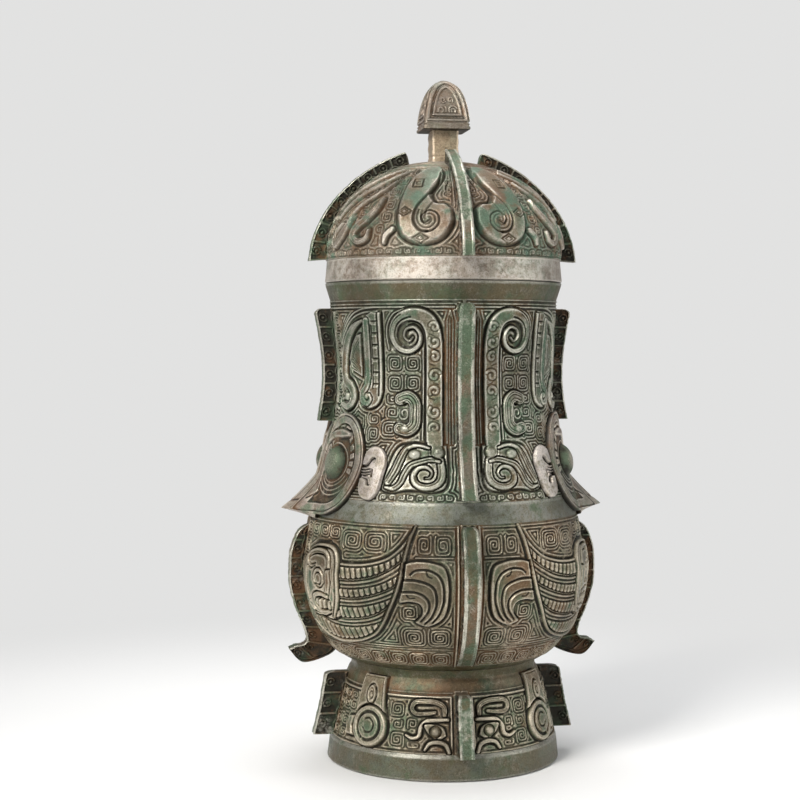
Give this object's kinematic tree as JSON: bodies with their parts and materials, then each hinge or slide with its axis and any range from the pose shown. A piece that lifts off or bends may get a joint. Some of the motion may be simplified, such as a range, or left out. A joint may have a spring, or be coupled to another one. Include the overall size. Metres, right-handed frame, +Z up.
{
  "type": "bronze wine vessel",
  "caption": "Lidded round bronze wine vessel with upright notched flanges, owl faces with beaks, a foot ring and a lid with a square pointed knob.",
  "frame": {"origin": "centre of the foot's bottom edge", "axes": "+Z up the vessel's axis; the front flange faces -Y and the owls' beaks point to +X and -X"},
  "size_m": [0.174, 0.1652, 0.36],
  "materials": {
    "patinated_bronze": "satin dark patina",
    "lid_bronze": "satin grey-brown patina",
    "green_bronze": "green corroded patina",
    "pale_bronze": "pale rubbed patina",
    "rubbed_bronze": "golden rubbed bronze"
  },
  "bodies": {
    "vessel": {"vessel_body": "patinated_bronze", "foot_ring": "patinated_bronze", "neck_flange_front": "green_bronze", "neck_flange_right": "green_bronze", "neck_flange_back": "green_bronze", "neck_flange_left": "green_bronze", "belly_flange_front": "green_bronze", "belly_flange_right": "green_bronze", "belly_flange_back": "green_bronze", "belly_flange_left": "green_bronze", "foot_flange_front": "green_bronze", "foot_flange_right": "green_bronze", "foot_flange_back": "green_bronze", "foot_flange_left": "green_bronze", "eye_plate_front_left": "pale_bronze", "eye_plate_front_right": "pale_bronze", "eye_plate_back_left": "pale_bronze", "eye_plate_back_right": "pale_bronze", "ear_pad_front_left": "pale_bronze", "ear_pad_front_right": "pale_bronze", "ear_pad_back_left": "pale_bronze", "ear_pad_back_right": "pale_bronze", "owl_leg_front_left": "patinated_bronze", "owl_leg_front_right": "patinated_bronze", "owl_leg_back_left": "patinated_bronze", "owl_leg_back_right": "patinated_bronze", "beak_left": "pale_bronze", "beak_right": "pale_bronze"},
    "lid": {"lid_shell": "lid_bronze", "lid_flange_front": "green_bronze", "lid_flange_right": "green_bronze", "lid_flange_back": "green_bronze", "lid_flange_left": "green_bronze", "coiled_horn_front_left": "lid_bronze", "coiled_horn_front_right": "lid_bronze", "coiled_horn_back_left": "lid_bronze", "coiled_horn_back_right": "lid_bronze", "knob_post": "rubbed_bronze", "knob_cap": "lid_bronze"}
  },
  "joints": [
    {"name": "lid_lift", "type": "slide", "parent": "vessel", "child": "lid", "axis": [0, 0, 1], "range_m": [0, 0.08]}
  ]
}
